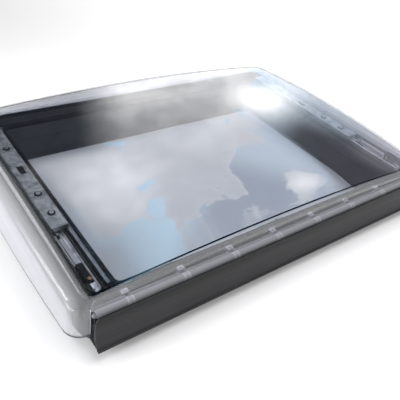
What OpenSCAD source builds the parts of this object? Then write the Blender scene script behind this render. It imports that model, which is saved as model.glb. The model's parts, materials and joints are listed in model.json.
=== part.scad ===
// Hinged roof skylight with a crank drive: a clear double dome on a dark frame for a roof cut-out.
// Millimetres. Origin: middle of the cut-out, on the roof plane. X along the hinge, +Y away from it, +Z up.

/* [Roof opening] */
// Length of the cut-out in the roof, along the hinge
cut_w = 700; // [640:10:800]
// Depth of the cut-out in the roof, across the hinge
cut_d = 500; // [480:10:560]
// Corner radius of the spigot that enters the cut-out
cut_r = 12; // [8:1:16]
// Clearance between spigot and cut-out on each side
cut_gap = 2; // [1:0.5:3]
// How far the spigot hangs below the roof plane
spigot_h = 22; // [18:1:30]

/* [Frame] */
// Wall of the well
well_wall = 3; // [2:0.5:4]
// Width of the channels at the sides and the back
chan_w = 41; // [41:1:46]
// Wall outside the channels
outer_wall = 4; // [4:0.5:5]
// Extra wall at the hinge side
front_wall = 6; // [6:0.5:8]
// Width of the flange on the roof
flange_w = 19; // [16:1:24]
// Thickness of the flange
flange_t = 4; // [3:0.5:5]
// Height of the channel deck above the roof
deck_h = 50; // [44:1:60]
// Thickness of the channel deck
deck_t = 4; // [3:0.5:5]
// Height of the ledge that carries the well seal, above the deck
ledge_h = 11; // [10:0.5:12]
// Width of that ledge outside the well wall
ledge_w = 15; // [15:0.5:16]
// Thickness of that ledge
ledge_t = 3; // [2:0.5:4]
// Height of the outer wall above the deck
frame_h = 14; // [12:0.5:15]
// Diameter of the fixing holes in the flange
fix_d = 5.5; // [4:0.5:6.5]
// Distance across the hinge between the outer fixing holes
fix_outer = 420; // [380:10:460]
// Distance across the hinge between the inner fixing holes
fix_inner = 140; // [100:10:200]
// Depth of the shadow grooves round the well
groove = 0.8; // [0.4:0.1:1.2]

/* [Seals] */
// Width of the gasket under the dome
gasket_w = 4; // [3.5:0.1:4]
// Air left between gasket and inner pane
gasket_air = 0.2; // [0.1:0.1:0.5]
// Thickness of the seal lips
lip_w = 3.5; // [2.5:0.1:4]
// Height of the well seal's inner lip over its base
lip_in_h = 6.6; // [5:0.1:8]
// Height of the well seal's outer lip over its base
lip_out_h = 3; // [2:0.1:3]
// Thickness of the seal base
seal_t = 2; // [1.5:0.1:2.5]
// Thickness of the metal band between the lips
band_t = 1.2; // [0.8:0.1:1.5]

/* [Dome] */
// Thickness of the outer dome
dome_t = 3; // [2.5:0.1:4]
// Height of the crown above the deck
crown_h = 62; // [58:1:75]
// Fall of the crown towards the left and right
crown_dx = 16.5; // [12:0.5:17]
// Fall of the crown towards the front and back
crown_dy = 14; // [10:0.5:15]
// Vertical radius of the shoulder
shoulder = 34; // [28:1:40]
// Width of the shoulder at the sides
shoulder_w = 29; // [26:1:36]
// Width of the shoulder at the back
shoulder_b = 18; // [16:1:28]
// Outward bow of the side rims
bow_x = 7; // [0:0.5:12]
// Outward bow of the back rim
bow_y = 10; // [0:0.5:14]
// Height of the rim's lower edge above the roof
rim_z = 18; // [10:1:26]
// Corner radius of the rim
rim_r = 30; // [28:1:34]
// Thickness of the inner pane
pane_t = 2.5; // [2:0.1:3]
// Height of the inner pane's flange above the deck
pane_z = 22; // [22:0.1:23]
// Rise of the pane's middle above its flange
pane_rise = 6; // [6:0.1:7]
// Width of the pane's flange outside the frame
pane_out = 12; // [10:0.5:14]

/* [Hinge] */
// Height of the hinge axis above the deck
hinge_z = 17; // [17:0.1:18]
// Distance of the hinge axis in front of the frame
hinge_out = 28.5; // [28:0.5:30]
// Diameter of the hinge rod
rod_d = 5; // [4:0.1:6]
// Radial running clearance of the turning parts
run = 0.06; // [0.03:0.01:0.1]
// Outer radius of the barrel and the lug eyes
barrel_r = 4.6; // [4.3:0.1:4.8]
// Number of lugs
lug_n = 8; // [5:1:9]
// Width of a lug
lug_w = 12; // [10:1:16]
// Thickness of a lug's ribs
lug_rib = 3; // [2:0.5:4]
// Thickness of the hood over the hinge
hood_t = 2.6; // [2:0.1:2.8]
// Distance of the strip's hollow face in front of the frame
strip_out = 32.5; // [32:0.5:36]
// Radius of the strip's hollow face
strip_r = 80; // [74:1:90]
// Thickness of the strip
strip_t = 2.2; // [1.8:0.1:2.6]
// Height of the strip's upper edge above the deck
strip_top = 24; // [22:0.5:26]
// Length of the strip's lower lip
strip_lip = 5; // [3:0.5:7]

/* [Stay] */
// Length of the stay arm, and of its pivot from the hinge axis
stay_r = 84; // [80:1:87]
// Width of the stay arm
arm_w = 10; // [9:0.1:10.4]
// Thickness of the stay arm
arm_t = 4; // [3:0.1:5]
// Diameter of the stay pins
pin_d = 4; // [3:0.1:4.5]
// Width of the tongue and of the shoe's tab
tongue_w = 4; // [3:0.1:4.5]
// Sheet thickness of the guide rail
rail_t = 1.2; // [1:0.1:1.4]
// Inside width of the guide rail
rail_in = 12.3; // [12:0.1:12.6]
// Height of the guide rail
rail_h = 10; // [9:0.1:10.4]
// Length of the shoe
shoe_l = 24; // [18:1:28]
// How much shorter than the cut-out the rail covers are
cover_short = 150; // [140:5:200]
// Width of the rail covers
cover_w = 30; // [28:0.5:30]
// Height of the covers' upper face above the deck
cover_z = 24.5; // [23:0.1:24.5]
// Sheet thickness of the covers
cover_t = 1.5; // [1:0.1:2]
// Diameter of the cover screws
screw_d = 4; // [3:0.1:4.4]

/* [Crank drive] */
// Width of the drive housing
hous_w = 72; // [64:1:90]
// Depth of the drive housing
hous_d = 28; // [26:0.5:30]
// Height of the drive housing
hous_h = 52; // [50:1:54]
// Diameter of the cross shaft
shaft_d = 8; // [6:0.5:9]
// Radius of the cable drums
drum_r = 10; // [8:0.5:13]
// Length of the crank arm
crank_l = 48; // [40:1:55]
// Radius of the crank knob
knob_r = 7.5; // [6:0.1:9]
// Length of the crank knob
knob_l = 19; // [16:1:24]

/* [Hidden] */
$fn = 64;

// Small gaps and overlaps
eps = 0.5;
side_gap = 0.2;
slide_gap = 0.1;

// Heights above the roof
deck_u = deck_h - deck_t;
ledge_z = deck_h + ledge_h;
wall_z = deck_h + frame_h;
flap_z = deck_h + pane_z;
axis_z = deck_h + hinge_z;
strip_z = deck_h + strip_top;
plate_z = deck_h + cover_z;
crown_z = deck_h + crown_h;

// Well, walls and flange
hx = cut_w / 2 - cut_gap - well_wall;
hy = cut_d / 2 - cut_gap - well_wall;
xi = hx + well_wall;
yi = hy + well_wall;
xc = xi + chan_w;
yc = yi + chan_w;
xo = xc + outer_wall;
yo = yc + outer_wall;
yf = -yi - front_wall;
hinge_y = yf - hinge_out;
in_r = max(cut_r - well_wall, 2);
wall_r = 20;
flange_r = 60;
flange_x = xo + flange_w;
flange_yb = yo + flange_w;
strip_bot = 1;
strip_back = yf - strip_out;
strip_cy = strip_back - strip_t - strip_r;
strip_cz = strip_z / 2;
flange_yf = strip_cy + sqrt(pow(strip_r + strip_t, 2) - pow(strip_cz - flange_t, 2)) + side_gap;

// Loops as [half width, front, back, corner radius]
L_well = [hx, -hy, hy, in_r];
L_spigot = [xi, -yi, yi, cut_r];
L_wall_in = [xc, -yi, yc, wall_r - outer_wall];
L_wall = [xo, yf, yo, wall_r];
L_flange = [flange_x, flange_yf, flange_yb, flange_r];
L_deck_in = [hx + 1, -hy - 1, hy + 1, in_r];
L_deck = [xc + 1, -yi - 1, yc + 1, wall_r - outer_wall + 1];
L_ledge = [xi + ledge_w, yf, yi + ledge_w, cut_r + 2];

// Seals
seal_air = 0.5;
seal_in = 2;
seal_w = well_wall + ledge_w - seal_in;
L_seal_in = grow(L_well, seal_air, seal_air);
seal_f = -yi + side_gap;
L_seal_in2 = [hx + seal_air + lip_w, seal_f, hy + seal_air + lip_w, in_r + 2];
L_seal = [hx + seal_w, seal_f, hy + seal_w, in_r + 4];
L_seal2 = grow(L_seal, -lip_w, -lip_w);
seal_top = ledge_z + seal_t;
L_gasket = L_wall;
L_gasket_in = grow(L_wall, -gasket_w, -gasket_w);
gasket_base = 2.5;

// Inner pane
pane_u = flap_z + pane_rise;
pane_top = pane_u + pane_t;
pan_wall = 2;
pan_gap = 0.5;
L_pan = grow(L_wall, -gasket_w - pan_gap, -gasket_w - pan_gap);
L_pan_in = grow(L_pan, -pan_wall, -pan_wall);
flap_out = 16;
back_out = 7;
L_flap = [xo + pane_out, yf - flap_out, yo + back_out, wall_r];

// Outer dome
step_x = xo + pane_out;
step_out = 8;
step_f = yf - step_out;
step_b = yo + back_out;
step_r = wall_r;
rim_x = step_x + shoulder_w;
rim_in = 6;
rim_f = hinge_y + rim_in;
rim_b = step_b + shoulder_b;
crown_y = (rim_f + rim_b) / 2;
edge_up = 3;
edge_z = axis_z + edge_up;
edge_h = 2;
rib_z = flap_z + pane_t;

// Hinge
strip_over = 9;
barrel_in = 2;
strip_x = xo + strip_over;
barrel_x = strip_x - barrel_in;
foot_t = 2.4;
lug_pitch = 2 * hx / (lug_n - 1);
lug_xs = [for (i = [0 : lug_n - 1]) (i - (lug_n - 1) / 2) * lug_pitch];
foot_xs = [for (i = [1 : lug_n - 1]) (i - lug_n / 2) * lug_pitch];
foot_in = 10.5;
foot_y = hinge_y + foot_in;
lug_pad = 8;
pad_t = 4;
lug_l = 20.5;
lug_drop = 5;
lug_back = hinge_y + lug_l;
lug_bot = axis_z - lug_drop;
foot_back = lug_back;
lug_sy = lug_back - lug_pad / 2;
lug_sd = 2.5;
lug_head = 2;
lug_air = 1.5;
foot_f = strip_cy + sqrt(pow(strip_r, 2) - pow(strip_cz - flange_t - foot_t, 2));
web_t = 2.4;
rod_r = rod_d / 2;
rod_over = 3.5;
rod_x = barrel_x + rod_over;
clip_t = 1.2;
clip_in = 0.8;
hood_in = barrel_r + eps;
hood_out = hood_in + hood_t;
hood_low = 1.2;
hood_over = 3;
hood_back = rim_f + dome_t + hood_over;

// Rails, covers and stays: the left side, the right one is its mirror image
rail_gap = 0.4;
rail_x = xc - rail_gap;
stay_x = rail_x - rail_t - rail_in / 2;
rail_off = 0.6;
rail_b = xi + ledge_w + rail_off;
rail_y0 = -yi + wall_r - outer_wall;
rail_short = 27;
rail_y1 = yc - rail_short;
rail_lip = 2.4;
pivot_y = hinge_y + stay_r;
shoe_y = hinge_y + 2 * stay_r;
cover_in = 3.2;
cover_x = xc - cover_in;
cover_gap = 16.5;
cover_y = shoe_y + cover_gap;
cover_l = cut_d - cover_short;
cover_m = cover_y + cover_l / 2;
cover_leg = 8.5;
slot_l = 26;
slot_w = 12;
screw_in = 19.4;
screw_end = 37;
screw_step = 58;
screw_x = xc - screw_in;
screw_ys = [for (s = [-1, 1], a = [0, 1]) cover_m + s * (cover_l / 2 - screw_end - a * screw_step)];
spacer_r = 3.8;
washer_r = 6.8;
washer_t = 1;
head_r = 3.9;
head_h = 1.6;
slip = 0.3;
eye_r = 4.5;
pin_r = pin_d / 2;
fork_gap = tongue_w + 2 * side_gap;
block_f = 19;
block_b = 7;
block_d = 6;
foot_l = 16.5;
foot_h = 3;
rivet_in = 12;
rivet_y = pivot_y - block_f - rivet_in;
rivet_r = 2;
rivet_h = 1.2;
rivet_head = 3.5;

// Crank drive on the front wall of the well
shaft_in = 19;
shaft_drop = 20;
shaft_over = 5.75;
shaft_y = -hy + shaft_in;
shaft_z = deck_u - shaft_drop;
shaft_r = shaft_d / 2;
shaft_x = stay_x + shaft_over;
cable_w = 4;
cable_f = 2;
cable_b = 22;
hous_over = 12;
hous_z = shaft_z + hous_over - hous_h;
hous_f = -hy + hous_d;
hous_r = 8;
crank_drop = 22;
crank_z = shaft_z - crank_drop;
spindle_r = 5;
spindle_l = 9;
hub_r = 10;
hub_l = 9;
crank_gap = 0.5;
crank_y = hous_f + crank_gap;
bar_t = 6;
kpin_r = 2.5;
bush_r = shaft_r + 3;
drum_w = 10;
hscrew_in = 12;
hscrew_up = 4.5;
hscrew_l = 6;
hscrew_head = 2;
hscrew_x = hous_w / 2 - hscrew_in;
hscrew_zs = [hous_z + hous_r, shaft_z + shaft_r + hscrew_up];

function grow(l, dx, dy) = [l[0] + dx, l[1] - dy, l[2] + dy, max(l[3] + min(dx, dy), 1)];

module rrect(l) {
    r = l[3];
    translate([-l[0] + r, l[1]]) square([2 * (l[0] - r), l[2] - l[1]]);
    translate([-l[0], l[1] + r]) square([2 * l[0], l[2] - l[1] - 2 * r]);
    for (s = [-1, 1], y = [l[1] + r, l[2] - r])
        translate([s * (l[0] - r), y]) circle(r);
}

// Ring between two loops, from z0 to z1
module band(z0, z1, outer, inner) {
    translate([0, 0, z0]) linear_extrude(z1 - z0) difference() {
        rrect(outer);
        rrect(inner);
    }
}

module plate(z0, z1, l) {
    translate([0, 0, z0]) linear_extrude(z1 - z0) rrect(l);
}

// Round bar along X about (y, z), from x0 to x1
module xbar(x0, x1, y, z, r) {
    translate([x0, y, z]) rotate([0, 90, 0]) cylinder(r = r, h = x1 - x0);
}

// Round bar along Y
module ybar(y0, y1, x, z, r) {
    translate([x, y0, z]) rotate([-90, 0, 0]) cylinder(r = r, h = y1 - y0);
}

module box(x0, x1, y0, y1, z0, z1) {
    translate([x0, y0, z0]) cube([x1 - x0, y1 - y0, z1 - z0]);
}

// Slot through which the cable leaves the left drum
module cable_slot(z0, z1) {
    box(-stay_x - cable_w / 2, -stay_x + cable_w / 2, shaft_y - cable_f, shaft_y + cable_b, z0, z1);
}

module both() {
    children();
    mirror([1, 0, 0]) children();
}

// Frame

module outer_frame() {
    color([0.17, 0.17, 0.18]) difference() {
        union() {
            band(-spigot_h, ledge_z, L_spigot, L_well);
            band(0, flange_t, L_flange, L_wall_in);
            band(0, wall_z, L_wall, L_wall_in);
            band(deck_u, deck_h, L_deck, L_deck_in);
            band(ledge_z - ledge_t, ledge_z, L_ledge, L_well);
        }
        for (z = [-spigot_h / 2, ledge_z / 2])
            band(z - 1, z + 1, grow(L_well, groove, groove), grow(L_well, -1, -1));
        for (s = [-1, 1], p = [fix_outer, fix_inner], t = [-1, 1])
            translate([s * (xo + flange_w / 2), t * p / 2, -eps]) cylinder(d = fix_d, h = flange_t + 2 * eps);
        for (x = foot_xs)
            translate([x, foot_y, 0.5]) cylinder(d = screw_d, h = flange_t);
        both() {
            xbar(hx - eps, xi + eps, shaft_y, shaft_z, bush_r);
            for (y = screw_ys)
                translate([-screw_x, y, deck_u - eps]) cylinder(d = screw_d, h = deck_t + 2 * eps);
            cable_slot(deck_u - eps, deck_h + eps);
        }
        for (s = [-1, 1], z = hscrew_zs)
            ybar(-hy - hscrew_l, -hy + eps, s * hscrew_x, z, screw_d / 2);
    }
}

module frame_gasket() {
    color([0.05, 0.05, 0.06]) {
        band(wall_z, wall_z + gasket_base, L_gasket, L_gasket_in);
        band(wall_z + gasket_base, flap_z - gasket_air, grow(L_gasket, -0.6, -0.6), grow(L_gasket_in, 1, 1));
    }
}

module well_seal() {
    color([0.06, 0.06, 0.07]) {
        band(ledge_z, seal_top, L_seal, L_seal_in);
        band(seal_top, seal_top + lip_in_h, L_seal_in2, L_seal_in);
        intersection() {
            band(seal_top, seal_top + lip_out_h, L_seal, L_seal2);
            box(-xo, xo, -hy + in_r, yo, seal_top, seal_top + lip_out_h);
        }
    }
}

module seal_retainer() {
    color([0.75, 0.76, 0.78]) intersection() {
        band(seal_top, seal_top + band_t, grow(L_seal2, -eps, -eps), grow(L_seal_in2, eps, eps));
        box(-xo, xo, -hy + in_r, yo, seal_top, seal_top + band_t);
    }
}

// Hinge strip: hollow front face, foot on the flange, web and barrel, with a window at each lug
module strip_profile() {
    intersection() {
        translate([strip_cy, strip_cz]) difference() {
            circle(strip_r + strip_t, $fn = 180);
            circle(strip_r, $fn = 180);
        }
        translate([strip_cy, strip_bot]) square([2 * strip_r, strip_z - strip_bot]);
    }
    translate([foot_f, flange_t]) square([foot_back - foot_f, foot_t]);
    translate([hinge_y - web_t / 2, flange_t]) square([web_t, axis_z - flange_t]);
    translate([strip_back - strip_t, strip_cz - web_t / 2]) square([hinge_y - strip_back + strip_t, web_t]);
    translate([foot_f - strip_lip, strip_bot]) square([strip_lip + 1, strip_t]);
}

module hinge_strip() {
    color([0.13, 0.13, 0.14]) difference() {
        union() {
            translate([-strip_x, 0, 0]) rotate([90, 0, 90]) linear_extrude(2 * strip_x) strip_profile();
            xbar(-barrel_x, barrel_x, hinge_y, axis_z, barrel_r);
        }
        xbar(-strip_x - 1, strip_x + 1, hinge_y, axis_z, rod_r + run);
        for (x = lug_xs) {
            box(x - lug_w / 2 - eps, x + lug_w / 2 + eps, hinge_y - web_t, lug_back + lug_air,
                lug_bot - lug_air, strip_z + barrel_r);
            xbar(x - lug_w / 2 - eps, x + lug_w / 2 + eps, hinge_y, axis_z, barrel_r + eps);
        }
        for (x = foot_xs)
            translate([x, foot_y, flange_t - 1]) cylinder(d = screw_d, h = foot_t + 2);
        for (s = [-1, 1])
            box(s * strip_x - barrel_in, s * strip_x + barrel_in, strip_back + side_gap, foot_back + 1,
                flange_t + foot_t, strip_z);
    }
}

module strip_screws() {
    color([0.3, 0.3, 0.32]) for (x = foot_xs) translate([x, foot_y, 0]) {
        translate([0, 0, 0.5]) cylinder(d = screw_d, h = flange_t + foot_t);
        translate([0, 0, flange_t + foot_t]) cylinder(d = 2 * screw_d, h = 2.4);
    }
}

module hinge_rod() {
    color([0.7, 0.71, 0.73]) xbar(-rod_x, rod_x, hinge_y, axis_z, rod_r);
}

module rod_clips() {
    color([0.55, 0.56, 0.58]) both() difference() {
        xbar(-barrel_x - clip_t, -barrel_x, hinge_y, axis_z, barrel_r - clip_in);
        xbar(-barrel_x - 2, -barrel_x + 1, hinge_y, axis_z, rod_r);
    }
}

// Rails and covers

module rail_profile() {
    translate([-rail_x, 0]) square([rail_x - rail_b, rail_t]);
    translate([-rail_x, 0]) square([rail_t, rail_h]);
    translate([-stay_x + rail_in / 2, 0]) square([rail_t, rail_h]);
    translate([-rail_b - rail_t, 0]) square([rail_t, rail_h * 0.6]);
    translate([-rail_x, rail_h - rail_t]) square([rail_t + rail_lip, rail_t]);
    translate([-stay_x + rail_in / 2 - rail_lip, rail_h - rail_t]) square([rail_t + rail_lip, rail_t]);
}

module guide_rail() {
    color([0.72, 0.73, 0.75]) difference() {
        translate([0, rail_y1, deck_h]) rotate([90, 0, 0]) linear_extrude(rail_y1 - rail_y0) rail_profile();
        for (y = screw_ys)
            translate([-screw_x, y, deck_h - eps]) cylinder(r = screw_d / 2 + slip, h = rail_t + 2 * eps);
        cable_slot(deck_h - eps, deck_h + rail_t + eps);
    }
}

module left_guide_rail() {
    guide_rail();
}

module right_guide_rail() {
    mirror([1, 0, 0]) guide_rail();
}

module rail_cover() {
    x0 = -cover_x;
    x1 = -cover_x + cover_w;
    y1 = cover_y + cover_l;
    color([0.66, 0.68, 0.68]) difference() {
        box(x0, x1, cover_y, y1, plate_z - cover_leg, plate_z);
        box(x0 + cover_t, x1 - cover_t, cover_y + cover_t, y1 - cover_t,
            plate_z - cover_leg - 1, plate_z - cover_t);
        box(-screw_x - slot_w / 2, -screw_x + slot_w / 2, cover_m - slot_l / 2, cover_m + slot_l / 2,
            plate_z - cover_t - 1, plate_z + 1);
        for (y = screw_ys)
            translate([-screw_x, y, plate_z - cover_t - 1]) cylinder(r = screw_d / 2 + slip, h = cover_t + 2);
    }
}

module left_rail_cover() {
    rail_cover();
}

module right_rail_cover() {
    mirror([1, 0, 0]) rail_cover();
}

module cover_spacers() {
    color([0.6, 0.6, 0.62]) both() for (y = screw_ys)
        translate([-screw_x, y, deck_h + rail_t]) difference() {
            cylinder(r = spacer_r, h = plate_z - cover_t - deck_h - rail_t);
            translate([0, 0, -1]) cylinder(r = screw_d / 2 + slip, h = plate_z - deck_h);
        }
}

module cover_washers() {
    color([0.08, 0.08, 0.09]) both() for (y = screw_ys)
        translate([-screw_x, y, plate_z]) difference() {
            cylinder(r = washer_r, h = washer_t);
            translate([0, 0, -1]) cylinder(r = screw_d / 2 + slip, h = washer_t + 2);
        }
}

module cover_screws() {
    top = plate_z + washer_t;
    color([0.62, 0.63, 0.65]) both() for (y = screw_ys) translate([-screw_x, y, 0]) difference() {
        union() {
            translate([0, 0, deck_u - 3]) cylinder(d = screw_d, h = top - deck_u + 3);
            translate([0, 0, top]) cylinder(r = head_r, h = head_h);
        }
        translate([0, 0, top + 0.4]) cylinder(r = head_r * 0.5, h = head_h, $fn = 6);
    }
}

// Dome: rings of points from the crown down the outside, round the rim and up the inside

n_arc = 7;
n_cor = 8;
n_long = 14;
n_short = 9;

// Fall of the crown at a point of the plan; it flattens where the pane leaves it less room
function fall(p) = crown_dx * pow(p[0] / step_x, 2) + crown_dy * pow((p[1] - crown_y) / (rim_b - crown_y), 2);
dome_air = 1.5;
pan_fall = max(fall([L_pan[0], L_pan[1]]), fall([L_pan[0], L_pan[2]]));
flatten = min(1, (crown_z - dome_t - pane_top - dome_air) / pan_fall);
function crown(p) = crown_z - flatten * fall(p);

// Each point of the plan: rim point, step point, direction of the outward normal, 1 along the hinge edge
function corner(sx, sy, a0, front) = [for (i = [0 : n_cor]) let (
    a = a0 + 90 * i / n_cor,
    d = [cos(a), sin(a)],
    cy = sy < 0 ? rim_f + rim_r : rim_b - rim_r,
    ky = sy < 0 ? step_f + step_r : step_b - step_r)
    [[sx * (rim_x - rim_r), cy] + rim_r * d, [sx * (step_x - step_r), ky] + step_r * d, d, 0]];

front_pts = [for (i = [0 : n_long]) let (x = (2 * i / n_long - 1) * (strip_x + 0.8),
    xs = x * (step_x - step_r) / (rim_x - rim_r)) [[x, rim_f], [xs, step_f], [0, -1], 1]];
right_pts = [for (i = [1 : n_short - 1]) let (u = 2 * i / n_short - 1,
    y = (rim_f + rim_b) / 2 + u * ((rim_b - rim_f) / 2 - rim_r),
    ys = (step_f + step_b) / 2 + u * ((step_b - step_f) / 2 - step_r))
    [[rim_x + bow_x * (1 - u * u), y], [step_x, ys], [1, 0], 0]];
back_pts = [for (i = [1 : n_long - 1]) let (u = 1 - 2 * i / n_long)
    [[u * (rim_x - rim_r), rim_b + bow_y * (1 - u * u)], [u * (step_x - step_r), step_b], [0, 1], 0]];
left_pts = [for (i = [len(right_pts) - 1 : -1 : 0]) let (p = right_pts[i])
    [[-p[0][0], p[0][1]], [-p[1][0], p[1][1]], [-1, 0], 0]];
plan = concat(front_pts, corner(1, -1, -90, 0), right_pts, corner(1, 1, 0, 0), back_pts,
    corner(-1, 1, 90, 0), left_pts, corner(-1, -1, 180, 0));
n_plan = len(plan);

// Height of the shoulder, for a skin that lies t inside the outer one
function drop(p, t) = p[3] == 0 ? shoulder : crown(p[1]) - t - edge_z - edge_h;
function on_arc(p, t, k) = let (q = p[1] + (p[0] - t * p[2] - p[1]) * cos(90 * k))
    [q[0], q[1], crown(p[1]) - t - drop(p, t) * (1 - sin(90 * k))];
function low(p, t) = let (q = on_arc(p, t, 0)) [q[0], q[1], p[3] == 0 ? rim_z : edge_z];
function on_crown(p, t, k, inset) = let (q = [0, crown_y] + (p[1] - inset * p[2] - [0, crown_y]) * k)
    [q[0], q[1], crown(q) - t];
function at_z(p, inset, z) = let (q = p[1] - inset * p[2]) [q[0], q[1], z];

rings = concat(
    [for (k = [0.2, 0.4, 0.6, 0.8]) [for (p = plan) on_crown(p, 0, k, 0)]],
    [for (i = [n_arc : -1 : 0]) [for (p = plan) on_arc(p, 0, i / n_arc)]],
    [[for (p = plan) low(p, 0)]],
    [[for (p = plan) low(p, dome_t)]],
    [for (i = [0 : n_arc]) [for (p = plan) on_arc(p, dome_t, i / n_arc)]],
    [[for (p = plan) at_z(p, 0, rib_z)], [for (p = plan) at_z(p, dome_t, rib_z)]],
    [for (k = [1, 0.8, 0.6, 0.4, 0.2]) [for (p = plan) on_crown(p, dome_t, k, dome_t)]]);
n_ring = len(rings);
dome_points = concat([for (r = rings) each r],
    [[0, crown_y, crown_z], [0, crown_y, crown_z - dome_t]]);
function at(r, i) = r * n_plan + i % n_plan;
dome_faces = concat(
    [for (i = [0 : n_plan - 1]) [n_ring * n_plan, at(0, i + 1), at(0, i)]],
    [for (r = [0 : n_ring - 2], i = [0 : n_plan - 1]) each
        [[at(r, i), at(r, i + 1), at(r + 1, i + 1)], [at(r, i), at(r + 1, i + 1), at(r + 1, i)]]],
    [for (i = [0 : n_plan - 1]) [n_ring * n_plan + 1, at(n_ring - 1, i), at(n_ring - 1, i + 1)]]);

module outer_dome() {
    color([0.8, 0.84, 0.9, 0.4]) polyhedron(dome_points, dome_faces);
}

module inner_pane() {
    color([0.75, 0.8, 0.88, 0.4]) difference() {
        union() {
            band(flap_z, flap_z + pane_t, L_flap, L_pan_in);
            band(flap_z, pane_top, L_pan, L_pan_in);
            plate(pane_u, pane_top, L_pan);
        }
        for (x = lug_xs)
            translate([x, lug_sy, flap_z - 1]) cylinder(d = lug_sd, h = pane_t + 2);
        both() translate([-stay_x, rivet_y, pane_u - 1]) cylinder(r = rivet_r, h = pane_t + 2);
    }
}

// Hood over the hinge: a shell about the axis, with a tongue bonded under the dome's front edge
module hood_profile() {
    difference() {
        translate([hinge_y, axis_z]) circle(hood_out);
        translate([hinge_y, axis_z]) circle(hood_in);
        translate([hinge_y - 2 * hood_out, axis_z - 2 * hood_out])
            square([4 * hood_out, 2 * hood_out + hood_low]);
        translate([rim_f, edge_z - eps]) square([hood_out, hood_out]);
    }
    translate([hinge_y + hood_in, edge_z - hood_t]) square([hood_back - hinge_y - hood_in, hood_t]);
}

module hinge_hood() {
    color([0.72, 0.73, 0.77, 0.6]) difference() {
        translate([-barrel_x, 0, 0]) rotate([90, 0, 90]) linear_extrude(2 * barrel_x) hood_profile();
        for (x = lug_xs)
            box(x - lug_w / 2 - eps, x + lug_w / 2 + eps, hinge_y, hood_back + 1, lug_bot, edge_z + side_gap);
    }
}

module hinge_lug() {
    difference() {
        union() {
            xbar(-lug_w / 2, lug_w / 2, hinge_y, axis_z, barrel_r);
            for (s = [-1, 1])
                translate([s * (lug_w - lug_rib) / 2, 0, 0])
                    box(-lug_rib / 2, lug_rib / 2, hinge_y, lug_back, lug_bot, edge_z);
            box(-lug_w / 2, lug_w / 2, lug_back - lug_pad, lug_back, flap_z - pad_t, flap_z);
        }
        xbar(-lug_w, lug_w, hinge_y, axis_z, rod_r + run);
        translate([0, lug_sy, flap_z - pad_t - 1]) cylinder(d = lug_sd, h = pad_t + 2);
    }
}

module hinge_lugs() {
    color([0.82, 0.86, 0.92, 0.5]) for (x = lug_xs) translate([x, 0, 0]) hinge_lug();
}

module lug_screws() {
    color([0.6, 0.61, 0.63]) for (x = lug_xs) translate([x, lug_sy, 0]) {
        translate([0, 0, flap_z - pad_t]) cylinder(d = lug_sd, h = pad_t + pane_t);
        translate([0, 0, flap_z - pad_t - lug_head]) cylinder(d = 2 * lug_sd, h = lug_head);
    }
}

// Stays: an arm of the hinge-to-pivot length keeps the shoe on the straight rail through the hinge axis

module arm_bracket() {
    x0 = -stay_x - arm_w / 2;
    x1 = -stay_x + arm_w / 2;
    difference() {
        union() {
            box(x0, x1, pivot_y - block_f, pivot_y + block_b, axis_z - block_d, pane_u);
            box(x0, x1, pivot_y - block_f - foot_l, pivot_y - block_f + 1, pane_u - foot_h, pane_u);
        }
        box(-stay_x - fork_gap / 2, -stay_x + fork_gap / 2, pivot_y - eye_r - 1.5, pivot_y + block_b + 1,
            axis_z - block_d - 1, axis_z + eye_r + 1.5);
        xbar(x0 - 1, x1 + 1, pivot_y, axis_z, pin_r);
        translate([-stay_x, rivet_y, pane_u - foot_h - 1]) cylinder(r = rivet_r, h = foot_h + 2);
    }
}

module arm_brackets() {
    color([0.07, 0.07, 0.08]) both() arm_bracket();
}

module bracket_pins() {
    color([0.7, 0.7, 0.72]) both() xbar(-stay_x - arm_w / 2, -stay_x + arm_w / 2, pivot_y, axis_z, pin_r);
}

module bracket_rivets() {
    color([0.62, 0.4, 0.26]) both() translate([-stay_x, rivet_y, 0]) {
        translate([0, 0, pane_u - foot_h]) cylinder(r = rivet_r, h = foot_h + pane_t);
        translate([0, 0, pane_u - foot_h - rivet_h]) cylinder(r = rivet_head, h = rivet_h);
        translate([0, 0, pane_top]) cylinder(r = rivet_head, h = rivet_h);
    }
}

module stay_arm() {
    hw = arm_w / 2;
    ht = arm_t / 2;
    bar_f = pivot_y + block_b + 5;
    bar_b = shoe_y - eye_r - 2;
    color([0.5, 0.51, 0.53]) translate([-stay_x, 0, axis_z]) difference() {
        union() {
            box(-hw, hw, bar_f, bar_b, -ht, ht);
            box(-tongue_w / 2, tongue_w / 2, pivot_y, bar_f + 1, -ht, ht);
            xbar(-tongue_w / 2, tongue_w / 2, pivot_y, 0, eye_r);
            for (s = [-1, 1]) translate([s * (hw + fork_gap / 2) / 2, 0, 0]) {
                w = (hw - fork_gap / 2) / 2;
                box(-w, w, bar_b - 1, shoe_y, -ht, ht);
                xbar(-w, w, shoe_y, 0, eye_r);
            }
        }
        xbar(-arm_w, arm_w, pivot_y, 0, pin_r + run);
        xbar(-arm_w, arm_w, shoe_y, 0, pin_r + run);
    }
}

module left_stay_arm() {
    stay_arm();
}

module right_stay_arm() {
    mirror([1, 0, 0]) stay_arm();
}

module shoe() {
    z0 = deck_h + rail_t + slide_gap;
    z1 = deck_h + rail_h - rail_t - side_gap;
    hw = rail_in / 2 - slide_gap;
    color([0.12, 0.12, 0.13]) translate([-stay_x, 0, 0]) difference() {
        union() {
            box(-hw, hw, shoe_y - shoe_l / 2, shoe_y + shoe_l / 2, z0, z1);
            box(-tongue_w / 2, tongue_w / 2, shoe_y - eye_r, shoe_y + eye_r, z1 - 1, axis_z);
            xbar(-tongue_w / 2, tongue_w / 2, shoe_y, axis_z, eye_r);
        }
        xbar(-hw, hw, shoe_y, axis_z, pin_r);
    }
}

module left_shoe() {
    shoe();
}

module right_shoe() {
    mirror([1, 0, 0]) shoe();
}

module shoe_pin() {
    color([0.7, 0.7, 0.72]) xbar(-stay_x - arm_w / 2, -stay_x + arm_w / 2, shoe_y, axis_z, pin_r);
}

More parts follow.
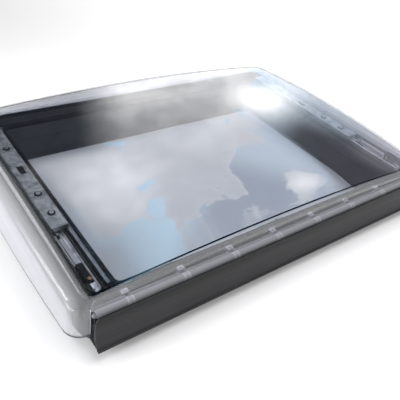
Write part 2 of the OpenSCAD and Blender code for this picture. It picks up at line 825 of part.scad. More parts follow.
module left_shoe_pin() {
    shoe_pin();
}

module right_shoe_pin() {
    mirror([1, 0, 0]) shoe_pin();
}

// Crank drive

module crank_housing() {
    l = [hous_w / 2, hous_z, hous_z + hous_h, hous_r];
    color([0.2, 0.2, 0.21]) difference() {
        translate([0, hous_f, 0]) rotate([90, 0, 0]) linear_extrude(hous_d) rrect(l);
        xbar(-hous_w, hous_w, shaft_y, shaft_z, shaft_r + run);
        ybar(hous_f - spindle_l - 1, hous_f + 1, 0, crank_z, spindle_r + run);
        for (s = [-1, 1], z = hscrew_zs)
            ybar(-hy - 1, hous_f + 1, s * hscrew_x, z, screw_d / 2);
    }
}

module housing_screws() {
    color([0.6, 0.61, 0.63]) for (s = [-1, 1], z = hscrew_zs) {
        ybar(-hy - hscrew_l, hous_f, s * hscrew_x, z, screw_d / 2);
        ybar(hous_f, hous_f + hscrew_head, s * hscrew_x, z, screw_d);
    }
}

module shaft_bushes() {
    color([0.85, 0.85, 0.82]) both() difference() {
        union() {
            xbar(hx, xi + 5, shaft_y, shaft_z, bush_r);
            xbar(hx - 2, hx, shaft_y, shaft_z, bush_r + 2);
        }
        xbar(hx - 3, xi + 6, shaft_y, shaft_z, shaft_r + run);
    }
}

module cross_shaft() {
    color([0.7, 0.71, 0.73]) xbar(-shaft_x, shaft_x, shaft_y, shaft_z, shaft_r);
}

module cable_drums() {
    color([0.3, 0.3, 0.32]) both() difference() {
        xbar(stay_x - drum_w / 2, stay_x + drum_w / 2, shaft_y, shaft_z, drum_r);
        difference() {
            xbar(stay_x - drum_w / 2 + 2, stay_x + drum_w / 2 - 2, shaft_y, shaft_z, drum_r + 1);
            xbar(stay_x - drum_w, stay_x + drum_w, shaft_y, shaft_z, drum_r - 2.5);
        }
        xbar(stay_x - drum_w, stay_x + drum_w, shaft_y, shaft_z, shaft_r);
    }
}

module crank_arm() {
    color([0.24, 0.24, 0.25]) difference() {
        union() {
            ybar(crank_y - crank_gap - spindle_l, crank_y + 1, 0, crank_z, spindle_r);
            ybar(crank_y, crank_y + hub_l, 0, crank_z, hub_r);
            box(0, crank_l, crank_y + 2, crank_y + 2 + bar_t, crank_z - 6, crank_z + 6);
            ybar(crank_y + 2, crank_y + 2 + bar_t, crank_l, crank_z, 6);
        }
        ybar(crank_y, crank_y + hub_l + 1, crank_l, crank_z, kpin_r);
    }
}

module knob_pin() {
    y0 = crank_y + 2;
    y1 = y0 + bar_t + crank_gap + knob_l + slip;
    color([0.7, 0.7, 0.72]) {
        ybar(y0, y1, crank_l, crank_z, kpin_r);
        ybar(y1, y1 + 1.5, crank_l, crank_z, kpin_r + 1.5);
    }
}

module crank_knob() {
    e = 1.5;
    color([0.1, 0.1, 0.11]) translate([crank_l, crank_y + 2 + bar_t + crank_gap, crank_z]) rotate([-90, 0, 0])
        rotate_extrude() polygon([[kpin_r + run, 0], [knob_r - e, 0], [knob_r, e], [knob_r, knob_l - 2 * e],
            [knob_r - 2 * e, knob_l], [kpin_r + run, knob_l]]);
}

outer_frame();
frame_gasket();
well_seal();
seal_retainer();
hinge_strip();
strip_screws();
hinge_rod();
rod_clips();
left_guide_rail();
right_guide_rail();
left_rail_cover();
right_rail_cover();
cover_spacers();
cover_washers();
cover_screws();
crank_housing();
housing_screws();
shaft_bushes();
outer_dome();
inner_pane();
hinge_hood();
hinge_lugs();
lug_screws();
arm_brackets();
bracket_pins();
bracket_rivets();
left_stay_arm();
right_stay_arm();
left_shoe();
right_shoe();
left_shoe_pin();
right_shoe_pin();
cross_shaft();
cable_drums();
crank_arm();
knob_pin();
crank_knob();
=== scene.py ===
"""Looks of a hinged roof skylight: finishes, clear panes, studio light and camera. Metres, in the part's own frame."""
import json
import math

import bpy
from mathutils import Matrix, Vector


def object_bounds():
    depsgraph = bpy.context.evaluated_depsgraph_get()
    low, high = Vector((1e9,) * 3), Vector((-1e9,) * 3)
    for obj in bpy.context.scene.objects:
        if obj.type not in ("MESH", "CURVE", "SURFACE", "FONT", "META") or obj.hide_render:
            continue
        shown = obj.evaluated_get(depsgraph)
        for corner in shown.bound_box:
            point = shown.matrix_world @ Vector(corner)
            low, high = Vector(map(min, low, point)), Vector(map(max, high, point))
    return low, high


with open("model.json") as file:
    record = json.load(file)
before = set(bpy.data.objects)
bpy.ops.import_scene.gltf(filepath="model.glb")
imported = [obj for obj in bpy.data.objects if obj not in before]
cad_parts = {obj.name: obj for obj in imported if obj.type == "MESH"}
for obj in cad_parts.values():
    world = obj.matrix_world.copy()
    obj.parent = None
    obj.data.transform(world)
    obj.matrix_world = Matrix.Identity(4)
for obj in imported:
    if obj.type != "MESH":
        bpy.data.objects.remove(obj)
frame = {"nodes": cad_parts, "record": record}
cad_low, cad_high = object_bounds()
nodes = frame["nodes"]

WHITE = (1.0, 1.0, 1.0)

# Camera, from the photograph's viewing angle
VIEW_AZIMUTH = math.radians(-41.56)
VIEW_ELEVATION = math.radians(36.90)
VIEW_ROLL = math.radians(9.58)
VIEW_AIM = Vector((-0.053, -0.067, 0.0))
VIEW_DISTANCE = 1.032
LENS = 44.3
SENSOR = 36.0

# Lamps: name, place, aim, width, height, watts
SOFTBOXES = (
    ("top_softbox", (0.45, -0.1, 1.9), (0.1, 0.0, 0.0), 2.0, 2.0, 46.0),
    ("left_softbox", (-1.7, 0.2, 1.0), (-0.3, 0.0, 0.05), 1.0, 0.8, 14.0),
)

# Shading of the meshes
SMOOTH_ANGLE = math.radians(32.0)
WELD_REACH = 1e-5

# Patterns
NOISE_ROUGHNESS = 0.55
NOISE_SPAN = (0.25, 0.75)  # where nearly all noise values lie
LINES_X = (4.0, 900.0, 900.0)  # stretch that turns noise into lines along X
LINES_Y = (900.0, 4.0, 900.0)
STRIP_LINES = (3.0, 700.0, 700.0)
STRIP_PAINTED_SHADE = (0.062, 0.036)  # heights between which the strip's painted shade fades, from darkest at the top to none towards its foot
HOOD_LINES = (3.0, 400.0, 400.0)
WIPE_MARKS = (25.0, 9.0, 25.0)

# Clear plastic
ACRYLIC_IOR = 1.49
PANE_IOR = 1.05  # low, so that the pane doesn't double the reflections of the dome above it
DOME_TINT = (0.96, 0.965, 0.98)
PANE_TINT = (0.82, 0.835, 0.86)

# Milky rim of the dome
OPAL_TINT = (0.76, 0.77, 0.83)
OPAL_EDGE = (0.391, -0.257, 0.291)  # where it starts: |x|, y in front, y at the back
OPAL_STEPS = ((0.0, 1.0), (0.007, 0.995), (0.010, 0.955), (0.016, 0.95), (0.021, 0.93), (0.027, 0.84),
              (0.042, 0.60), (0.050, 0.42))  # distance outside that start, and how clear it is there
OPAL_FRONT = ((8.0, -0.048), (0.6, 0.015))  # two lines, factor and offset; in front the lower one is the distance
CONTACT_SHADOW_HEIGHTS = (0.0200, 0.0225)  # heights between which the painted contact shadow along the rim's lower edge fades out
CONTACT_SHADOW_TONE = (0.16, 0.16, 0.18)

# Marks on the hood in front of the hinge lugs
LUG_PITCH = 0.69 / 7
LUG_TURNS = 10.0  # whole pitches added, so that no fraction is taken of a negative number
LUG_MARKS = ((0.0, 0.82), (0.0028, 0.82), (0.0034, 1.0), (0.0056, 1.0), (0.0066, 0.70))  # distance aside, tone

# Floor
FLOOR_HALF = 9.0
FLOOR_GAP = 0.0003
FLOOR_PAINT = ((0.80, 0.80, 0.805), (0.84, 0.84, 0.845))
FLOOR_LIFT = (0.9, 2.6, 0.16, 0.62)  # glow of 0.16 up to 0.9 m from the middle, 0.62 from 2.6 m on
PAINTED_SHADE_PLACE = (-0.3, 1.4)  # middle of the painted shade spot behind the part
PAINTED_SHADE_TONE = (0.55, 0.55, 0.55)
WELL_HALF = (0.36, 0.26)  # half sides of the patch of painted shade under the well
WELL_BLUR = 0.01
WELL_PAINTED_SHADE = (0.51, 0.53, 0.56)

# Studio: what the camera sees behind the floor, and the light on matt surfaces
STUDIO_WHITE = (0.96, 0.96, 0.96)
STUDIO_FILL = (0.42, 0.42, 0.43)

# Sky for what shines. Angles are in degrees. A spot is azimuth, elevation, width and height. A pair of angles is a
# soft edge, from where its share is 0 to where it is 1.
CLOUD_NOISE = (7.0, 5.0, 0.62)  # scale, detail, roughness
CLOUD_SPOTS = ((23, 40, 9, 9), (40, 41, 5, 6), (38, 32, 8, 4), (61.5, 36, 3.5, 3), (20, 35, 14, 4),
               (36, 29, 12, 4), (47.5, 41, 3.5, 3))
CLOUD_SPOT_GAIN = 1.5
CLOUD_PULL = 0.28  # weight of the spots beside the noise
CLOUD_START = (0.46, 0.53)  # cover at which blue turns into cloud
CLOUD_GREY = (1.30, 1.25, 1.25)
FRINGE_END = (0.50, 0.58)  # cover at which a cloud's light fringe ends
FRINGE_SHARE = 0.35
FRINGE_COLOUR = (2.20, 2.15, 2.15)
LUMP_NOISE = (15.0, 1.5, 0.4)
LUMP_SPAN = (0.35, 0.65)
LUMP_SHARE = 0.28
LUMP_SHADE = (0.6, 0.62, 0.7)
SUNLIT_SPOTS = ((26, 43, 9, 9), (61.5, 36, 4, 3))
SUNLIT_COLOUR = (3.90, 3.80, 3.75)
HALF_LIT_SPOTS = ((30, 20, 5, 5), (38, 31, 8, 4))
HALF_LIT_SHARE = 0.3
BANK_TOP = (36, 31)  # low bank of clouds
BANK_RIGHT = (48, 42)
BANK_COVER = 0.6
BANK_FADE = (31, 25.5)
BANK_COLOURS = ((1.30, 1.32, 1.36), (2.20, 2.22, 2.25))
BLUE_TURN = (38, 48)
BLUE_LEFT = (1.30, 2.50, 3.30)
BLUE_RIGHT_RISE = (32, 39)
BLUE_RIGHT_COLOURS = ((1.10, 1.36, 1.66), (0.0, 0.10, 0.30))
SLANT = 0.5  # degrees that a slanted edge gives way per degree
DARK_SPLIT = (33, 36.5)  # left end of the clouds: elevation where the slanted edge takes over from the upright one
DARK_SLANTED = (-6.1, -3.1)
DARK_UPRIGHT = (20, 29)
DARK_SPOT = (23, 57, 10, 7)
DARK_COLOUR = (0.06, 0.07, 0.09)
WALL_TOP = (0.8, -0.8)  # above the right wall of the well
WALL_LEFT = (50, 56)
WALL_RISE = (20, 25)
WALL_COLOURS = ((0.75, 0.90, 1.05), (0.20, 0.20, 0.24))
RIM_LEFT = (62, 67)  # above the right rim
RIM_TOP = (27, 23)
RIM_COLOUR = (0.85, 0.85, 0.98)
BACK_LEFT = (70, 76)  # behind the part
BACK_TURN = (100, 170)
BACK_COLOUR = (0.25, 0.27, 0.32)
SIDE_RIGHT = (-12, 2)  # left of the part
SIDE_COLOUR = (0.70, 0.70, 0.75)
HORIZON = (4, 10)
HORIZON_COLOUR = (0.95, 0.95, 0.95)
SUN_SPOT = (47.6, 19.0, 4.2, 4.5)
SUN_COLOUR = (5.0, 5.0, 5.0)
SHOULDER_SPOT = (-57, 17, 10, 4)  # streak on the left shoulder of the dome
SHOULDER_COLOUR = (10.0, 10.0, 10.0)
CORNER_SPOT = (-84, 6, 16, 5)  # streak on its left front corner
CORNER_COLOUR = (9.0, 9.0, 9.0)


class Wiring:
    """Short calls that add shader nodes to a tree and join them."""

    def __init__(self, tree):
        self.tree = tree

    def add(self, kind, **settings):
        node = self.tree.nodes.new(kind)
        for key, value in settings.items():
            setattr(node, key, value)
        return node

    def feed(self, socket, value):
        """Gives a socket a number, a colour or the output of another node."""
        if isinstance(value, (int, float)):
            socket.default_value = value
        elif isinstance(value, tuple):
            socket.default_value = (*value, 1)
        else:
            self.tree.links.new(value, socket)

    def feed_all(self, node, **values):
        """Gives sockets their values by name, with _ for a space."""
        for name, value in values.items():
            self.feed(node.inputs[name.replace("_", " ")], value)

    def math(self, operation, *values):
        node = self.add("ShaderNodeMath", operation=operation)
        for socket, value in zip(node.inputs, values):
            self.feed(socket, value)
        return node.outputs["Value"]

    def xyz(self, vector):
        node = self.add("ShaderNodeSeparateXYZ")
        self.feed_all(node, Vector=vector)
        return node.outputs["X"], node.outputs["Y"], node.outputs["Z"]

    def noise(self, vector, scale, detail, roughness):
        node = self.add("ShaderNodeTexNoise")
        self.feed_all(node, Vector=vector, Scale=scale, Detail=detail, Roughness=roughness)
        return node.outputs["Fac"]

    def fit(self, value, start, end, low=0.0, high=1.0, **settings):
        """Low at the start to high at the end."""
        node = self.add("ShaderNodeMapRange", **settings)
        self.feed_all(node, Value=value, From_Min=start, From_Max=end, To_Min=low, To_Max=high)
        return node.outputs["Result"]

    def mix(self, share, first, second, **settings):
        """Colour between two colours."""
        node = self.add("ShaderNodeMix", data_type="RGBA", **settings)
        for index, value in ((0, share), (6, first), (7, second)):
            self.feed(node.inputs[index], value)
        return node.outputs[2]

    def multiply(self, first, second):
        return self.mix(1.0, first, second, blend_type="MULTIPLY")


class Surface(Wiring):
    """A material round one Principled shader. Its patterns follow object coordinates."""

    def __init__(self, name):
        self.material = bpy.data.materials.new(name)
        self.material.use_nodes = True
        super().__init__(self.material.node_tree)
        self.shader = self.tree.nodes["Principled BSDF"]
        self.coordinates = self.add("ShaderNodeTexCoord").outputs["Object"]

    def put(self, name, value):
        self.feed(self.shader.inputs[name], value)

    def colour(self, value):
        self.put("Base Color", value)

    def place(self):
        return self.xyz(self.coordinates)

    def grain(self, scale, detail=4.0, stretch=(1, 1, 1)):
        mapping = self.add("ShaderNodeMapping")
        mapping.inputs["Scale"].default_value = stretch
        self.feed_all(mapping, Vector=self.coordinates)
        return self.noise(mapping.outputs["Vector"], scale, detail, NOISE_ROUGHNESS)

    def cells(self, scale):
        """One random grey per crystal."""
        node = self.add("ShaderNodeTexVoronoi")
        self.feed_all(node, Vector=self.coordinates, Scale=scale)
        split = self.add("ShaderNodeSeparateColor")
        self.feed_all(split, Color=node.outputs["Color"])
        return split.outputs["Red"]

    def ramp(self, value, points):
        """Colour along a value from 0 to 1, from points of value and colour."""
        node = self.add("ShaderNodeValToRGB")
        spots = node.color_ramp.elements
        while len(spots) < len(points):
            spots.new(1.0)
        for spot, (place, colour) in zip(spots, points):
            spot.position = place
            spot.color = (*colour, 1)
        self.feed_all(node, Fac=value)
        return node.outputs["Color"]

    def shades(self, value, dark, light, start=0.3, end=0.7):
        """Colour between two shades along a value."""
        return self.ramp(value, ((start, dark), (end, light)))

    def graph(self, value, points):
        """Grey along a value that starts at 0, from points of value and grey."""
        reach = points[-1][0]
        greys = [(place / reach, (grey, grey, grey)) for place, grey in points]
        return self.ramp(self.math("DIVIDE", value, reach), greys)

    def rough(self, value, low, high):
        self.put("Roughness", self.fit(value, *NOISE_SPAN, low, high))

    def bump(self, height, depth, strength):
        node = self.add("ShaderNodeBump")
        self.feed_all(node, Height=height, Distance=depth, Strength=strength)
        self.put("Normal", node.outputs["Normal"])


def moulded(name, dark, light, low=0.42, high=0.58):
    """Moulded plastic: cloudy tone, fine grain, roughness from low to high."""
    s = Surface(name)
    s.put("Specular IOR Level", 0.06)
    s.colour(s.shades(s.grain(14.0), dark, light))
    s.rough(s.grain(60.0), low, high)
    s.bump(s.grain(900.0, detail=2.0), depth=0.00015, strength=0.5)
    return s.material


def rubber(name, dark, light):
    """Black and dull."""
    s = Surface(name)
    s.put("Specular IOR Level", 0.02)
    s.colour(s.shades(s.grain(40.0), dark, light))
    s.rough(s.grain(120.0), 0.55, 0.78)
    s.bump(s.grain(700.0, detail=3.0), depth=0.0002, strength=0.5)
    return s.material


def extruded_black(name, dark, light):
    """Matt profile with drawing lines along its length, and painted shade that makes it darker towards its top and
    lighter towards its foot.
    """
    s = Surface(name)
    lines = s.grain(1.0, detail=3.0, stretch=STRIP_LINES)
    blotches = s.grain(9.0, detail=5.0)
    _, _, height = s.place()
    # painted shade: the upper part of the strip is darkened, as if shaded by its own overhang
    painted_shade = s.shades(s.fit(height, *STRIP_PAINTED_SHADE), (0.40, 0.40, 0.40), WHITE, 0.0, 1.0)
    tone = s.multiply(s.shades(lines, dark, light), painted_shade)
    s.put("Specular IOR Level", 0.12)
    s.colour(s.multiply(tone, s.shades(blotches, (0.8, 0.8, 0.8), WHITE)))
    s.rough(blotches, 0.40, 0.52)
    s.bump(lines, depth=0.00012, strength=0.6)
    return s.material


def galvanised(name, dark, light, metal=0.85):
    """Zinc coat: crystals, grey blotches and a dull sheen."""
    s = Surface(name)
    crystals = s.cells(190.0)
    stains = s.grain(55.0, detail=6.0)
    stained = s.shades(stains, (0.55, 0.57, 0.57), WHITE, 0.36, 0.56)
    s.put("Metallic", metal)
    s.colour(s.multiply(s.shades(crystals, dark, light, 0.0, 1.0), stained))
    s.rough(crystals, 0.36, 0.56)
    s.bump(stains, depth=0.0002, strength=0.4)
    return s.material


def drawn_metal(name, dark, light, stretch, metal=1.0):
    """Metal with fine lines along one direction, or fine specks where the stretch is even."""
    s = Surface(name)
    lines = s.grain(1.0, stretch=stretch)
    s.put("Metallic", metal)
    s.colour(s.shades(lines, dark, light))
    s.rough(lines, 0.24, 0.42)
    s.bump(lines, depth=0.00008, strength=0.5)
    return s.material


def rim_share(s):
    """How clear the dome is: 1 inside the gasket, less towards the rim."""
    x, y, _ = s.place()
    edge_x, edge_front, edge_back = OPAL_EDGE
    side = s.math("SUBTRACT", s.math("ABSOLUTE", x), edge_x)
    front = s.math("SUBTRACT", edge_front, y)
    front = s.math("MINIMUM", *[s.math("MULTIPLY_ADD", front, *line) for line in OPAL_FRONT])
    back = s.math("SUBTRACT", y, edge_back)
    outside = s.math("MAXIMUM", side, s.math("MAXIMUM", front, back))
    return s.graph(outside, OPAL_STEPS)


def painted_contact_shadow(s):
    """Painted contact shadow: darker along the lower edge of the rim."""
    _, _, height = s.place()
    return s.shades(s.fit(height, *CONTACT_SHADOW_HEIGHTS), CONTACT_SHADOW_TONE, WHITE, 0.0, 1.0)


def acrylic(name, tint, ior, roughest, wave, opal_rim=False):
    """Clear plastic that lets lamps and soft light straight through. Faint wipe marks and forming waves."""
    s = Surface(name)
    s.put("IOR", ior)
    s.rough(s.grain(1.0, detail=5.0, stretch=WIPE_MARKS), 0.0, roughest)
    s.bump(s.grain(7.0, detail=1.0), depth=wave, strength=0.35)
    path = s.add("ShaderNodeLightPath").outputs
    through = s.math("MAXIMUM", path["Is Shadow Ray"], path["Is Diffuse Ray"])
    if opal_rim:
        share = rim_share(s)
        least = OPAL_STEPS[-1][1]
        # the rim's colour carries a painted contact shadow along its lower edge
        s.colour(s.multiply(s.shades(share, OPAL_TINT, tint, least, 1.0), painted_contact_shadow(s)))
        s.put("Transmission Weight", share)
        through = s.math("MULTIPLY", through, share)
    else:
        s.colour(tint)
        s.put("Transmission Weight", 1.0)
    clear = s.add("ShaderNodeBsdfTransparent")
    s.feed_all(clear, Color=tuple(math.sqrt(t) for t in tint))
    mixed = s.add("ShaderNodeMixShader")
    for socket, value in zip(mixed.inputs, (through, s.shader.outputs["BSDF"], clear.outputs["BSDF"])):
        s.feed(socket, value)
    s.feed_all(s.tree.nodes["Material Output"], Surface=mixed.outputs["Shader"])
    return s.material


def lug_marks(s):
    """Two light bars in front of each lug's ribs, as they would show through the milky hood."""
    x, _, _ = s.place()
    turn = s.math("FRACT", s.math("MULTIPLY_ADD", x, 1.0 / LUG_PITCH, LUG_TURNS))
    aside = s.math("MULTIPLY", s.math("ABSOLUTE", s.math("SUBTRACT", turn, 0.5)), LUG_PITCH)
    return s.graph(aside, LUG_MARKS)


def opal(name, dark, light, clear, stretch, marked=False):
    """Milky plastic, with faint lines or clouds."""
    s = Surface(name)
    lines = s.grain(1.0, detail=3.0, stretch=stretch)
    tone = s.shades(lines, dark, light)
    s.colour(s.multiply(tone, lug_marks(s)) if marked else tone)
    s.put("Transmission Weight", clear)
    s.put("IOR", ACRYLIC_IOR)
    s.rough(lines, 0.10, 0.25)
    s.bump(lines, depth=0.0001, strength=0.4)
    return s.material


def specks(scale):
    """Even stretch, for a pattern without direction."""
    return (scale, scale, scale)


def make_finishes():
    """Material of each slot of the record, from its darkest and lightest tone."""
    return {
        "frame_plastic": moulded("frame_plastic", (0.046, 0.048, 0.052), (0.068, 0.070, 0.075)),
        "seal_rubber": rubber("seal_rubber", (0.005, 0.005, 0.006), (0.012, 0.012, 0.013)),
        "band_metal": drawn_metal("band_metal", (0.20, 0.21, 0.22), (0.29, 0.30, 0.31), specks(30.0)),
        "strip_black": extruded_black("strip_black", (0.052, 0.052, 0.054), (0.070, 0.070, 0.072)),
        "screw_steel": drawn_metal("screw_steel", (0.42, 0.43, 0.45), (0.62, 0.63, 0.65), specks(300.0)),
        "rod_steel": drawn_metal("rod_steel", (0.50, 0.51, 0.53), (0.68, 0.69, 0.71), LINES_X),
        "rail_zinc": galvanised("rail_zinc", (0.74, 0.75, 0.78), (0.90, 0.91, 0.93), metal=0.2),
        "cover_zinc": galvanised("cover_zinc", (0.40, 0.41, 0.41), (0.68, 0.69, 0.68)),
        "washer_black": moulded("washer_black", (0.010, 0.010, 0.011), (0.022, 0.022, 0.024)),
        "acrylic_dome": acrylic("acrylic_dome", DOME_TINT, ACRYLIC_IOR, roughest=0.006, wave=0.0002, opal_rim=True),
        "acrylic_pane": acrylic("acrylic_pane", PANE_TINT, PANE_IOR, roughest=0.015, wave=0.0001),
        "acrylic_lug": opal("acrylic_lug", (0.56, 0.56, 0.60), (0.68, 0.68, 0.72), clear=0.70, stretch=specks(60.0)),
        "acrylic_hood": opal("acrylic_hood", (0.57, 0.57, 0.61), (0.66, 0.66, 0.70), clear=0.55, stretch=HOOD_LINES,
                             marked=True),
        "bracket_black": moulded("bracket_black", (0.008, 0.008, 0.010), (0.018, 0.018, 0.020)),
        "rivet_copper": drawn_metal("rivet_copper", (0.15, 0.085, 0.055), (0.24, 0.14, 0.09), specks(200.0)),
        "arm_steel": drawn_metal("arm_steel", (0.26, 0.26, 0.27), (0.38, 0.38, 0.39), LINES_Y, metal=0.6),
        "shoe_black": moulded("shoe_black", (0.014, 0.014, 0.016), (0.030, 0.030, 0.032)),
        "housing_grey": moulded("housing_grey", (0.036, 0.037, 0.040), (0.056, 0.057, 0.061)),
        "bush_white": moulded("bush_white", (0.56, 0.56, 0.53), (0.68, 0.68, 0.65)),
        "knob_black": moulded("knob_black", (0.012, 0.012, 0.014), (0.026, 0.026, 0.028), low=0.25, high=0.40),
    }


def smooth(piece):
    """Round faces shade smoothly, and edges sharper than the smoothing angle stay sharp."""
    mesh = piece.data
    for name in ("custom_normal", "sharp_edge", "sharp_face"):
        if name in mesh.attributes:
            mesh.attributes.remove(mesh.attributes[name])
    mesh.polygons.foreach_set("use_smooth", [True] * len(mesh.polygons))
    weld = piece.modifiers.new("weld", "WELD")
    weld.merge_threshold = WELD_REACH
    split = piece.modifiers.new("split", "EDGE_SPLIT")
    split.split_angle = SMOOTH_ANGLE


def dress():
    """Each node gets its slot's finish."""
    finishes = make_finishes()
    for row in frame["record"]["subparts"]:
        piece = nodes[row["node"]]
        piece.data.materials.clear()
        piece.data.materials.append(finishes[row["material_slot"]])
        smooth(piece)


def floor_paint():
    """White, with a painted shade spot behind the part and a patch of painted shade under the well. Outside the patch
    it glows a little for the camera and for what clear and shiny surfaces see."""
    s = Surface("floor_paint")
    x, y, _ = s.place()

    def distance(from_x, from_y):
        across = s.math("SUBTRACT", x, from_x)
        along = s.math("SUBTRACT", y, from_y)
        return s.math("SQRT", s.math("MULTIPLY_ADD", across, across, s.math("MULTIPLY", along, along)))

    # painted shade: a grey spot behind the part, darkest at its middle
    paint = s.multiply(s.shades(s.grain(0.6, detail=2.0), *FLOOR_PAINT),
                       s.shades(distance(*PAINTED_SHADE_PLACE), PAINTED_SHADE_TONE, WHITE, 0.0, 1.0))
    # painted shade: the floor under the well is darkened, as if shaded by the skylight above it
    past_x, past_y = [s.math("SUBTRACT", s.math("ABSOLUTE", place), half) for place, half in zip((x, y), WELL_HALF)]
    outside = s.fit(s.math("MAXIMUM", past_x, past_y), -WELL_BLUR, WELL_BLUR)
    s.colour(s.multiply(paint, s.shades(outside, WELL_PAINTED_SHADE, WHITE, 0.0, 1.0)))
    s.put("Roughness", 0.9)
    s.put("Specular IOR Level", 0.0)
    path = s.add("ShaderNodeLightPath").outputs
    seen = s.math("MAXIMUM", path["Is Glossy Ray"], path["Is Transmission Ray"])
    seen = s.math("MULTIPLY", s.math("MAXIMUM", seen, path["Is Camera Ray"]), outside)
    s.put("Emission Color", WHITE)
    s.put("Emission Strength", s.math("MULTIPLY", seen, s.fit(distance(0.0, 0.0), *FLOOR_LIFT)))
    return s.material


def make_floor():
    mesh = bpy.data.meshes.new("floor")
    z = cad_low.z - FLOOR_GAP
    corners = [(sx * FLOOR_HALF, sy * FLOOR_HALF, z) for sx, sy in ((-1, -1), (1, -1), (1, 1), (-1, 1))]
    mesh.from_pydata(corners, [], [(0, 1, 2, 3)])
    mesh.materials.append(floor_paint())
    floor = bpy.data.objects.new("floor", mesh)
    bpy.context.scene.collection.objects.link(floor)


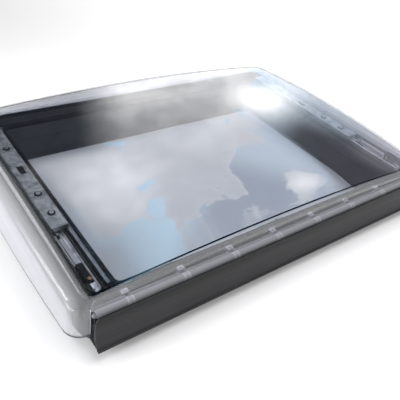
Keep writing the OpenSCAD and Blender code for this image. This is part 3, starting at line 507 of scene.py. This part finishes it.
class Sky(Wiring):
    """Cloudy sky by direction. Azimuth runs from +Y towards +X."""

    def __init__(self, tree):
        super().__init__(tree)
        self.direction = self.add("ShaderNodeTexCoord").outputs["Generated"]
        x, y, z = self.xyz(self.direction)
        self.azimuth = self.math("ARCTAN2", x, y)
        self.elevation = self.math("ARCSINE", z)

    def step(self, value, start, end, low=0.0, high=1.0):
        """Soft step from low at the start to high at the end."""
        return self.fit(value, start, end, low, high, interpolation_type="SMOOTHSTEP")

    def edge(self, angle, start, end):
        """Soft step from 0 to 1 between two angles."""
        return self.step(angle, math.radians(start), math.radians(end))

    def corner(self, azimuth_edge, elevation_edge):
        return self.math("MULTIPLY", self.edge(self.azimuth, *azimuth_edge), self.edge(self.elevation, *elevation_edge))

    def spot(self, azimuth, elevation, width, height):
        """Soft spot, 1 in its middle."""
        a = self.math("DIVIDE", self.math("SUBTRACT", self.azimuth, math.radians(azimuth)), math.radians(width))
        e = self.math("DIVIDE", self.math("SUBTRACT", self.elevation, math.radians(elevation)), math.radians(height))
        square = self.math("ADD", self.math("MULTIPLY", a, a), self.math("MULTIPLY", e, e))
        return self.math("EXPONENT", self.math("MULTIPLY", square, -1.0))

    def brightest(self, first, second):
        return self.math("MAXIMUM", self.spot(*first), self.spot(*second))

    def slanted(self, angle, other):
        return self.math("SUBTRACT", angle, self.math("MULTIPLY", other, SLANT))

    def cover(self, bank):
        """How thick the clouds are: noise that the spots and the low bank raise, and that falls off elsewhere."""
        places = bank
        for spot in CLOUD_SPOTS:
            places = self.math("ADD", places, self.math("MULTIPLY", self.spot(*spot), CLOUD_SPOT_GAIN))
        places = self.math("SUBTRACT", self.math("MINIMUM", places, 1.0), 0.5)
        noise = self.noise(self.direction, *CLOUD_NOISE)
        cover = self.math("ADD", noise, self.math("MULTIPLY", places, CLOUD_PULL))
        return self.math("MAXIMUM", cover, self.math("MULTIPLY", bank, BANK_COVER))

    def cloud(self, bank):
        """Grey clouds, with sunlit parts and shaded lumps."""
        half_lit = self.math("MULTIPLY", self.brightest(*HALF_LIT_SPOTS), HALF_LIT_SHARE)
        sunlit = self.math("MAXIMUM", half_lit, self.brightest(*SUNLIT_SPOTS))
        low = self.mix(self.edge(self.elevation, *BANK_FADE), *BANK_COLOURS)
        cloud = self.mix(sunlit, self.mix(bank, CLOUD_GREY, low), SUNLIT_COLOUR)
        lumps = self.noise(self.direction, *LUMP_NOISE)
        return self.mix(self.step(lumps, *LUMP_SPAN, LUMP_SHARE, 0.0), cloud, LUMP_SHADE)

    def open_sky(self):
        bank = self.corner(BANK_RIGHT, BANK_TOP)
        cover = self.cover(bank)
        fringed = self.mix(self.step(cover, *FRINGE_END, FRINGE_SHARE, 0.0), self.cloud(bank), FRINGE_COLOUR)
        right = self.mix(self.edge(self.elevation, *BLUE_RIGHT_RISE), *BLUE_RIGHT_COLOURS)
        blue = self.mix(self.edge(self.azimuth, *BLUE_TURN), BLUE_LEFT, right)
        return self.mix(self.step(cover, *CLOUD_START), blue, fringed)

    def openness(self):
        """1 where the clouds show, 0 in the dark part left of them."""
        upper = self.edge(self.elevation, *DARK_SPLIT)
        lower = self.math("SUBTRACT", 1.0, upper)
        beside = self.edge(self.slanted(self.azimuth, self.elevation), *DARK_SLANTED)
        level = self.math("ADD", self.math("MULTIPLY", upper, beside),
                          self.math("MULTIPLY", lower, self.edge(self.azimuth, *DARK_UPRIGHT)))
        return self.math("MULTIPLY", level, self.math("SUBTRACT", 1.0, self.spot(*DARK_SPOT)))

    def all_round(self):
        """The sky in every direction, from the clouds outwards."""
        sky = self.mix(self.openness(), DARK_COLOUR, self.open_sky())
        above_wall = self.edge(self.slanted(self.elevation, self.azimuth), *WALL_TOP)
        wall = self.math("MULTIPLY", above_wall, self.edge(self.azimuth, *WALL_LEFT))
        sky = self.mix(wall, sky, self.mix(self.edge(self.elevation, *WALL_RISE), *WALL_COLOURS))
        sky = self.mix(self.corner(RIM_LEFT, RIM_TOP), sky, RIM_COLOUR)
        back = self.mix(self.edge(self.azimuth, *BACK_TURN), BACK_COLOUR, SIDE_COLOUR)
        sky = self.mix(self.edge(self.azimuth, *BACK_LEFT), sky, back)
        sky = self.mix(self.spot(*SUN_SPOT), sky, SUN_COLOUR)
        sky = self.mix(self.edge(self.azimuth, *SIDE_RIGHT), SIDE_COLOUR, sky)
        sky = self.mix(self.spot(*SHOULDER_SPOT), sky, SHOULDER_COLOUR)
        sky = self.mix(self.edge(self.elevation, *HORIZON), HORIZON_COLOUR, sky)
        return self.mix(self.spot(*CORNER_SPOT), sky, CORNER_COLOUR)


def make_world():
    """White studio for the camera, soft fill for matt surfaces, and a cloudy sky for what shines."""
    world = bpy.data.worlds.new("studio")
    world.use_nodes = True
    bpy.context.scene.world = world
    sky = Sky(world.node_tree)
    path = sky.add("ShaderNodeLightPath").outputs
    shining = sky.math("MAXIMUM", path["Is Glossy Ray"], path["Is Transmission Ray"])
    light = sky.mix(shining, STUDIO_FILL, sky.all_round())
    seen = sky.mix(path["Is Camera Ray"], light, STUDIO_WHITE)
    sky.feed_all(world.node_tree.nodes["Background"], Color=seen, Strength=1.0)


def softbox(name, place, aim, width, height, power):
    """Area lamp that shiny and clear surfaces don't show."""
    lamp = bpy.data.lights.new(name, "AREA")
    lamp.shape = "RECTANGLE"
    lamp.size = width
    lamp.size_y = height
    lamp.energy = power
    light = bpy.data.objects.new(name, lamp)
    light.location = place
    light.rotation_euler = (Vector(aim) - Vector(place)).to_track_quat("-Z", "Y").to_euler()
    bpy.context.scene.collection.objects.link(light)
    light.visible_glossy = False
    light.visible_transmission = False


def make_camera():
    flat = math.cos(VIEW_ELEVATION)
    back = Vector((math.sin(VIEW_AZIMUTH) * flat, -math.cos(VIEW_AZIMUTH) * flat, math.sin(VIEW_ELEVATION)))
    level = (-back).cross(Vector((0, 0, 1))).normalized()
    upright = level.cross(-back)
    right = level * math.cos(VIEW_ROLL) + upright * math.sin(VIEW_ROLL)
    up = upright * math.cos(VIEW_ROLL) - level * math.sin(VIEW_ROLL)
    data = bpy.data.cameras.new("camera")
    data.lens = LENS
    data.sensor_width = SENSOR
    camera = bpy.data.objects.new("camera", data)
    turn = Matrix((right, up, back)).transposed().to_4x4()
    camera.matrix_world = Matrix.Translation(VIEW_AIM + back * VIEW_DISTANCE) @ turn
    bpy.context.scene.collection.objects.link(camera)
    bpy.context.scene.camera = camera


dress()
make_floor()
make_world()
for row in SOFTBOXES:
    softbox(*row)
make_camera()
bpy.context.scene.view_settings.view_transform = "Standard"
